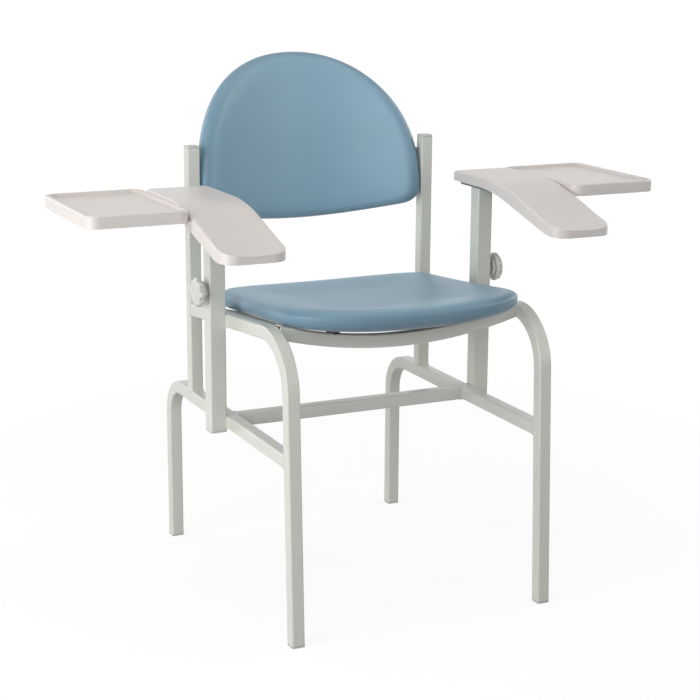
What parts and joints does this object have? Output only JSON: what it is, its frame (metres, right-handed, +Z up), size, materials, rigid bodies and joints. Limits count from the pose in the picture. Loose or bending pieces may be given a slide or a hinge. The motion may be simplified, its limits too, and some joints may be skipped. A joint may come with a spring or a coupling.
{
  "type": "phlebotomy chair",
  "caption": "Blood-drawing chair on a welded square-tube frame, with a bowed upholstered seat and arched back, and height-adjustable moulded arm rests with side trays.",
  "frame": {"origin": "on the floor under the middle of the chair", "axes": "+X to the right as seen from the front, the chair faces -Y, +Z up"},
  "size_m": [1.0234, 0.5908, 0.8942],
  "materials": {
    "frame_paint": "satin powder coat",
    "plate_paint": "satin powder coat",
    "upholstery": "matt coated vinyl",
    "arm_plastic": "satin",
    "knob_plastic": "semi gloss",
    "grey_plastic": "satin",
    "black_plastic": "matt",
    "board": "black painted plywood",
    "zinc": "zinc plated"
  },
  "bodies": {
    "frame": {"left_front_leg_and_seat_rail": "frame_paint", "left_rear_leg_and_lower_rail": "frame_paint", "left_back_post": "frame_paint", "left_arm_sleeve": "frame_paint", "right_front_leg_and_seat_rail": "frame_paint", "right_rear_leg_and_lower_rail": "frame_paint", "right_back_post": "frame_paint", "right_arm_sleeve": "frame_paint", "lower_stretcher": "frame_paint", "front_seat_bearer": "frame_paint", "rear_seat_bearer": "frame_paint", "upper_back_strap": "frame_paint", "lower_back_strap": "frame_paint", "clamp_nuts": "frame_paint", "leg_glides": "grey_plastic", "back_post_caps": "grey_plastic", "sleeve_plugs": "grey_plastic", "seat_board": "board", "seat_cushion": "upholstery", "seat_spacers": "black_plastic", "seat_screws": "zinc", "back_board": "board", "back_cushion": "upholstery", "back_screws": "zinc"},
    "left_arm": {"left_arm_post": "frame_paint", "left_arm_post_plug": "grey_plastic", "left_arm_plate": "plate_paint", "left_arm_rest": "arm_plastic", "left_side_tray": "arm_plastic", "left_arm_screws": "zinc"},
    "left_knob": {"left_clamp_knob": "knob_plastic", "left_clamp_stud": "zinc"},
    "right_arm": {"right_arm_post": "frame_paint", "right_arm_post_plug": "grey_plastic", "right_arm_plate": "plate_paint", "right_arm_rest": "arm_plastic", "right_side_tray": "arm_plastic", "right_arm_screws": "zinc"},
    "right_knob": {"right_clamp_knob": "knob_plastic", "right_clamp_stud": "zinc"}
  },
  "joints": [
    {"name": "left_arm_slide", "type": "slide", "parent": "frame", "child": "left_arm", "axis": [0, 0, 1], "range_m": [0, 0.18]},
    {"name": "left_knob_turn", "type": "hinge", "parent": "frame", "child": "left_knob", "pos_m": [-0.28, -0.0048, 0.526], "axis": [-1, 0, 0], "range_deg": [0, 360]},
    {"name": "right_arm_slide", "type": "slide", "parent": "frame", "child": "right_arm", "axis": [0, 0, 1], "range_m": [0, 0.18]},
    {"name": "right_knob_turn", "type": "hinge", "parent": "frame", "child": "right_knob", "pos_m": [0.28, -0.0048, 0.526], "axis": [1, 0, 0], "range_deg": [0, 360]}
  ]
}
